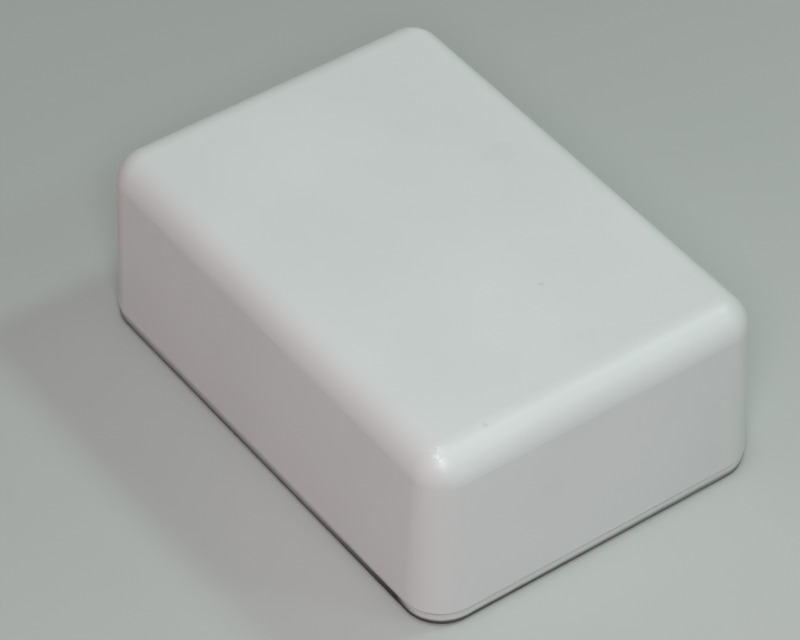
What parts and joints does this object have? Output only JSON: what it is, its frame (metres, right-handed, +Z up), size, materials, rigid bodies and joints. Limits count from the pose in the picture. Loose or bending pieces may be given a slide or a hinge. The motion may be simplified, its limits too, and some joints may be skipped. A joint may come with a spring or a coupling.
{
  "type": "plastic project box",
  "caption": "Small moulded project box: a rounded, hollow shell with screw bosses and board standoffs, closed from below by a thin screwed lid.",
  "frame": {"origin": "middle of the lid's underside, on the surface that the box stands on", "axes": "+X along the longer sides, +Y along the shorter sides, +Z up from the lid to the closed top"},
  "size_m": [0.075, 0.053, 0.0275],
  "materials": {
    "shell": "satin white moulding",
    "lid": "satin white moulding",
    "screw": "bright plated steel"
  },
  "bodies": {
    "root": {"shell": "shell", "lid": "lid", "screw_1": "screw", "screw_2": "screw", "screw_3": "screw", "screw_4": "screw"}
  },
  "joints": []
}
